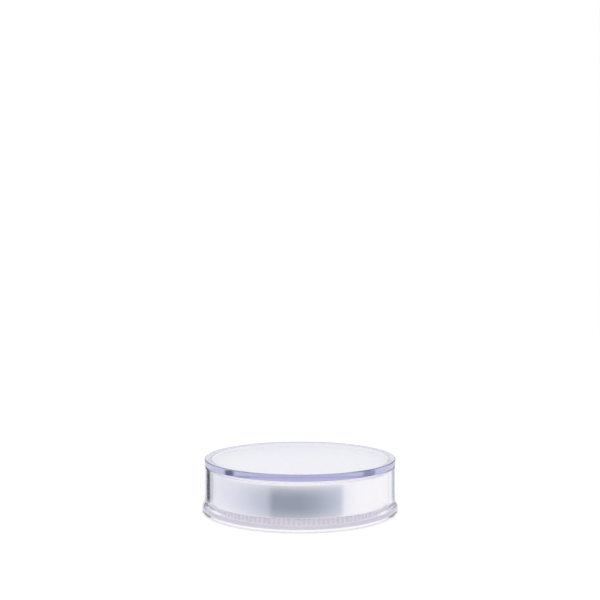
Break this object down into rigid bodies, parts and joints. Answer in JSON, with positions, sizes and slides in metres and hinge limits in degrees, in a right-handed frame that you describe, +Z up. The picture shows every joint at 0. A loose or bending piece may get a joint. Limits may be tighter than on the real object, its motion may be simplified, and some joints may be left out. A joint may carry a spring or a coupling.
{
  "type": "screw cap",
  "caption": "Round double-walled screw cap for a cream jar: a clear violet-tinted shell over a silver sleeve, with a threaded inner cap and a soft sealing liner.",
  "frame": {"origin": "centre of the open rim, on the surface that the cap stands on", "axes": "+Z up along the cap's axis, out of its closed top; -Y is the side that the picture shows"},
  "size_m": [0.0694, 0.0694, 0.0186],
  "materials": {
    "clear_shell": "clear polished acrylic with a faint violet tint",
    "silver": "bright satin silver metallising",
    "white_plastic": "satin moulded plastic",
    "liner_foam": "soft closed-cell foam sheet"
  },
  "bodies": {
    "root": {"over_shell": "clear_shell", "silver_sleeve": "silver", "threaded_cap": "white_plastic", "sealing_liner": "liner_foam"}
  },
  "joints": []
}
